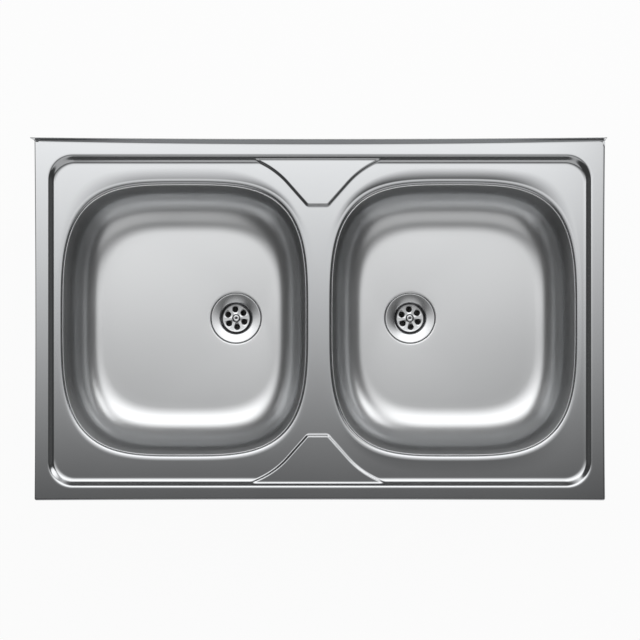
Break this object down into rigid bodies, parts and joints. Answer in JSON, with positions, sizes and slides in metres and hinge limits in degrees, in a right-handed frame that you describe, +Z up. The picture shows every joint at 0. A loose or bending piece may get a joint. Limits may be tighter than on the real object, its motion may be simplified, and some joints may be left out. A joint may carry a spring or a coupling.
{
  "type": "double bowl kitchen sink",
  "caption": "Lay-on stainless steel kitchen sink: two deep rounded bowls in a pressed deck with a raised rim, a rear upstand, turned-down edges, strainer wastes and fixing brackets.",
  "frame": {"origin": "middle of the flat deck between the two bowls, on its top face", "axes": "+Z up, +X to the right along the long side, +Y to the wall behind the sink"},
  "size_m": [0.806, 0.508, 0.2335],
  "materials": {
    "deck_steel": "smooth rolled stainless steel, softly reflective",
    "bowl_steel": "satin drawn stainless steel",
    "strainer_steel": "polished stainless steel",
    "black_rubber": "matt moulded rubber",
    "black_plastic": "moulded polypropylene with a fine matt surface",
    "nut_brass": "machined brass",
    "sound_pad": "embossed bitumen sheet",
    "zinc_steel": "zinc-plated steel"
  },
  "bodies": {
    "root": {"deck": "deck_steel", "left_bowl": "bowl_steel", "right_bowl": "bowl_steel", "left_strainer_flange": "strainer_steel", "right_strainer_flange": "strainer_steel", "left_strainer_screw": "strainer_steel", "right_strainer_screw": "strainer_steel", "left_flange_seal": "black_rubber", "right_flange_seal": "black_rubber", "left_lower_seal": "black_rubber", "right_lower_seal": "black_rubber", "left_waste_body": "black_plastic", "right_waste_body": "black_plastic", "left_insert_nut": "nut_brass", "right_insert_nut": "nut_brass", "left_sound_pad": "sound_pad", "right_sound_pad": "sound_pad", "bracket_front_left": "zinc_steel", "bracket_front_right": "zinc_steel", "bracket_back_left": "zinc_steel", "bracket_back_right": "zinc_steel", "bracket_screw_front_left": "zinc_steel", "bracket_screw_front_right": "zinc_steel", "bracket_screw_back_left": "zinc_steel", "bracket_screw_back_right": "zinc_steel"}
  },
  "joints": []
}
